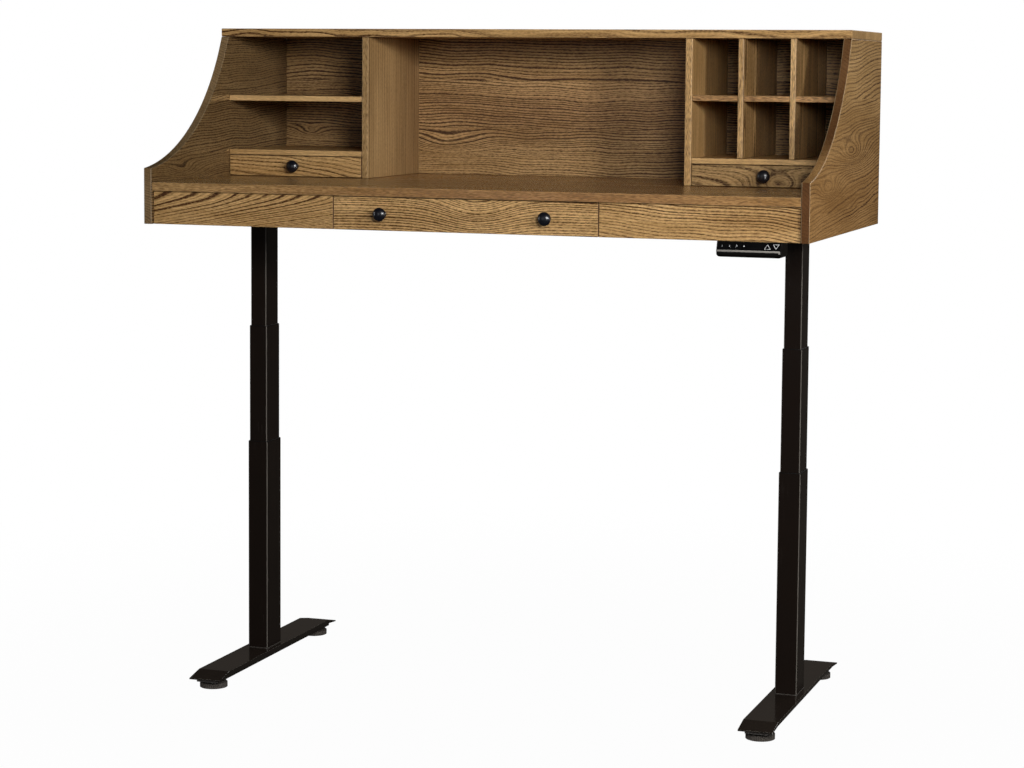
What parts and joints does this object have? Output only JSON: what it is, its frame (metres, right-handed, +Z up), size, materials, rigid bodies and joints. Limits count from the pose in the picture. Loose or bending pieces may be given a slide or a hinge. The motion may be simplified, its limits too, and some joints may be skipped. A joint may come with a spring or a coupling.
{
  "type": "height-adjustable desk",
  "caption": "Oak desk with a hutch of shelves and cubbies, drawers and a handset, on two electric lifting columns with long steel feet.",
  "frame": {"origin": "on the floor, under the middle of the desk's outer box", "axes": "+X to the desk's right as its user sees it, +Y to the back, +Z up"},
  "size_m": [1.524, 0.7778, 1.5245],
  "materials": {
    "stained_oak": "satin lacquer over stain",
    "drawer_wood": "clear lacquer",
    "dark_bronze": "satin",
    "black_steel": "semi-gloss powder coat",
    "bright_steel": "machined",
    "black_plastic": "fine texture",
    "face_plastic": "smooth",
    "pad_rubber": "ribbed rim"
  },
  "bodies": {
    "base": {"left_foot": "black_steel", "right_foot": "black_steel", "left_lower_tube": "black_steel", "right_lower_tube": "black_steel"},
    "desk": {"left_side_panel": "stained_oak", "right_side_panel": "stained_oak", "hutch_top": "stained_oak", "back_panel": "stained_oak", "desktop": "stained_oak", "left_apron": "stained_oak", "right_apron": "stained_oak", "rear_apron": "stained_oak", "left_divider": "stained_oak", "right_divider": "stained_oak", "left_shelf": "stained_oak", "left_drawer_deck": "stained_oak", "right_drawer_deck": "stained_oak", "cubby_shelf": "stained_oak", "cubby_divider_1": "stained_oak", "cubby_divider_2": "stained_oak", "left_drawer_runner": "drawer_wood", "right_drawer_runner": "drawer_wood", "left_top_bracket": "black_steel", "right_top_bracket": "black_steel", "front_cross_rail": "black_steel", "rear_cross_rail": "black_steel", "left_lift_motor": "black_plastic", "right_lift_motor": "black_plastic", "control_box": "black_plastic", "power_inlet": "face_plastic", "left_upper_tube": "black_steel", "right_upper_tube": "black_steel", "handset_case": "black_plastic", "handset_face": "face_plastic"},
    "wide_drawer": {"wide_drawer_front": "stained_oak", "wide_drawer_box": "drawer_wood", "wide_drawer_left_knob": "dark_bronze", "wide_drawer_right_knob": "dark_bronze"},
    "left_stage": {"left_middle_tube": "black_steel", "left_spindle_sleeve": "bright_steel"},
    "left_spindle": {"left_drive_spindle": "bright_steel"},
    "left_drawer": {"left_drawer_front": "stained_oak", "left_drawer_box": "drawer_wood", "left_drawer_knob": "dark_bronze"},
    "left_front_leveller": {"left_front_pad": "pad_rubber"},
    "left_rear_leveller": {"left_rear_pad": "pad_rubber"},
    "right_stage": {"right_middle_tube": "black_steel", "right_spindle_sleeve": "bright_steel"},
    "right_spindle": {"right_drive_spindle": "bright_steel"},
    "right_drawer": {"right_drawer_front": "stained_oak", "right_drawer_box": "drawer_wood", "right_drawer_knob": "dark_bronze"},
    "right_front_leveller": {"right_front_pad": "pad_rubber"},
    "right_rear_leveller": {"right_rear_pad": "pad_rubber"},
    "up_key_body": {"up_key": "face_plastic"},
    "down_key_body": {"down_key": "face_plastic"},
    "memory_key_1_body": {"memory_key_1": "face_plastic"},
    "memory_key_2_body": {"memory_key_2": "face_plastic"},
    "memory_key_3_body": {"memory_key_3": "face_plastic"},
    "memory_key_4_body": {"memory_key_4": "face_plastic"}
  },
  "joints": [
    {"name": "lift", "type": "slide", "parent": "base", "child": "desk", "axis": [0, 0, 1], "range_m": [-0.53, 0.1]},
    {"name": "wide_drawer_slide", "type": "slide", "parent": "desk", "child": "wide_drawer", "axis": [0, -1, 0], "range_m": [0, 0.22]},
    {"name": "left_stage_slide", "type": "slide", "parent": "base", "child": "left_stage", "axis": [0, 0, 1], "range_m": [-0.265, 0.05]},
    {"name": "left_spindle_turn", "type": "hinge", "parent": "desk", "child": "left_spindle", "pos_m": [-0.649, 0.0314, 1.09], "axis": [0, 0, 1], "range_deg": [-7951, 1501]},
    {"name": "left_drawer_slide", "type": "slide", "parent": "desk", "child": "left_drawer", "axis": [0, -1, 0], "range_m": [0, 0.22]},
    {"name": "left_front_levelling_turn", "type": "hinge", "parent": "base", "child": "left_front_leveller", "pos_m": [-0.649, -0.2536, 0.005], "axis": [0, 0, 1], "range_deg": [0, 2400]},
    {"name": "left_rear_levelling_turn", "type": "hinge", "parent": "base", "child": "left_rear_leveller", "pos_m": [-0.649, 0.3324, 0.005], "axis": [0, 0, 1], "range_deg": [0, 2400]},
    {"name": "right_stage_slide", "type": "slide", "parent": "base", "child": "right_stage", "axis": [0, 0, 1], "range_m": [-0.265, 0.05]},
    {"name": "right_spindle_turn", "type": "hinge", "parent": "desk", "child": "right_spindle", "pos_m": [0.649, 0.0314, 1.09], "axis": [0, 0, 1], "range_deg": [-7951, 1501]},
    {"name": "right_drawer_slide", "type": "slide", "parent": "desk", "child": "right_drawer", "axis": [0, -1, 0], "range_m": [0, 0.22]},
    {"name": "right_front_levelling_turn", "type": "hinge", "parent": "base", "child": "right_front_leveller", "pos_m": [0.649, -0.2536, 0.005], "axis": [0, 0, 1], "range_deg": [0, 2400]},
    {"name": "right_rear_levelling_turn", "type": "hinge", "parent": "base", "child": "right_rear_leveller", "pos_m": [0.649, 0.3324, 0.005], "axis": [0, 0, 1], "range_deg": [0, 2400]},
    {"name": "up_key_press", "type": "slide", "parent": "desk", "child": "up_key_body", "axis": [0, 0.9459, -0.3243], "range_m": [0, 0.0008], "stiffness_N_per_m": 500, "springref_m": -0.001},
    {"name": "down_key_press", "type": "slide", "parent": "desk", "child": "down_key_body", "axis": [0, 0.9459, -0.3243], "range_m": [0, 0.0008], "stiffness_N_per_m": 500, "springref_m": -0.001},
    {"name": "memory_key_1_press", "type": "slide", "parent": "desk", "child": "memory_key_1_body", "axis": [0, 0.9459, -0.3243], "range_m": [0, 0.0008], "stiffness_N_per_m": 500, "springref_m": -0.001},
    {"name": "memory_key_2_press", "type": "slide", "parent": "desk", "child": "memory_key_2_body", "axis": [0, 0.9459, -0.3243], "range_m": [0, 0.0008], "stiffness_N_per_m": 500, "springref_m": -0.001},
    {"name": "memory_key_3_press", "type": "slide", "parent": "desk", "child": "memory_key_3_body", "axis": [0, 0.9459, -0.3243], "range_m": [0, 0.0008], "stiffness_N_per_m": 500, "springref_m": -0.001},
    {"name": "memory_key_4_press", "type": "slide", "parent": "desk", "child": "memory_key_4_body", "axis": [0, 0.9459, -0.3243], "range_m": [0, 0.0008], "stiffness_N_per_m": 500, "springref_m": -0.001}
  ],
  "couplings": [
    {"joint": "left_stage_slide", "follows": "lift", "ratio": 0.5},
    {"joint": "left_spindle_turn", "follows": "lift", "rad_per_m": 261.8},
    {"joint": "right_stage_slide", "follows": "lift", "ratio": 0.5},
    {"joint": "right_spindle_turn", "follows": "lift", "rad_per_m": 261.8}
  ]
}
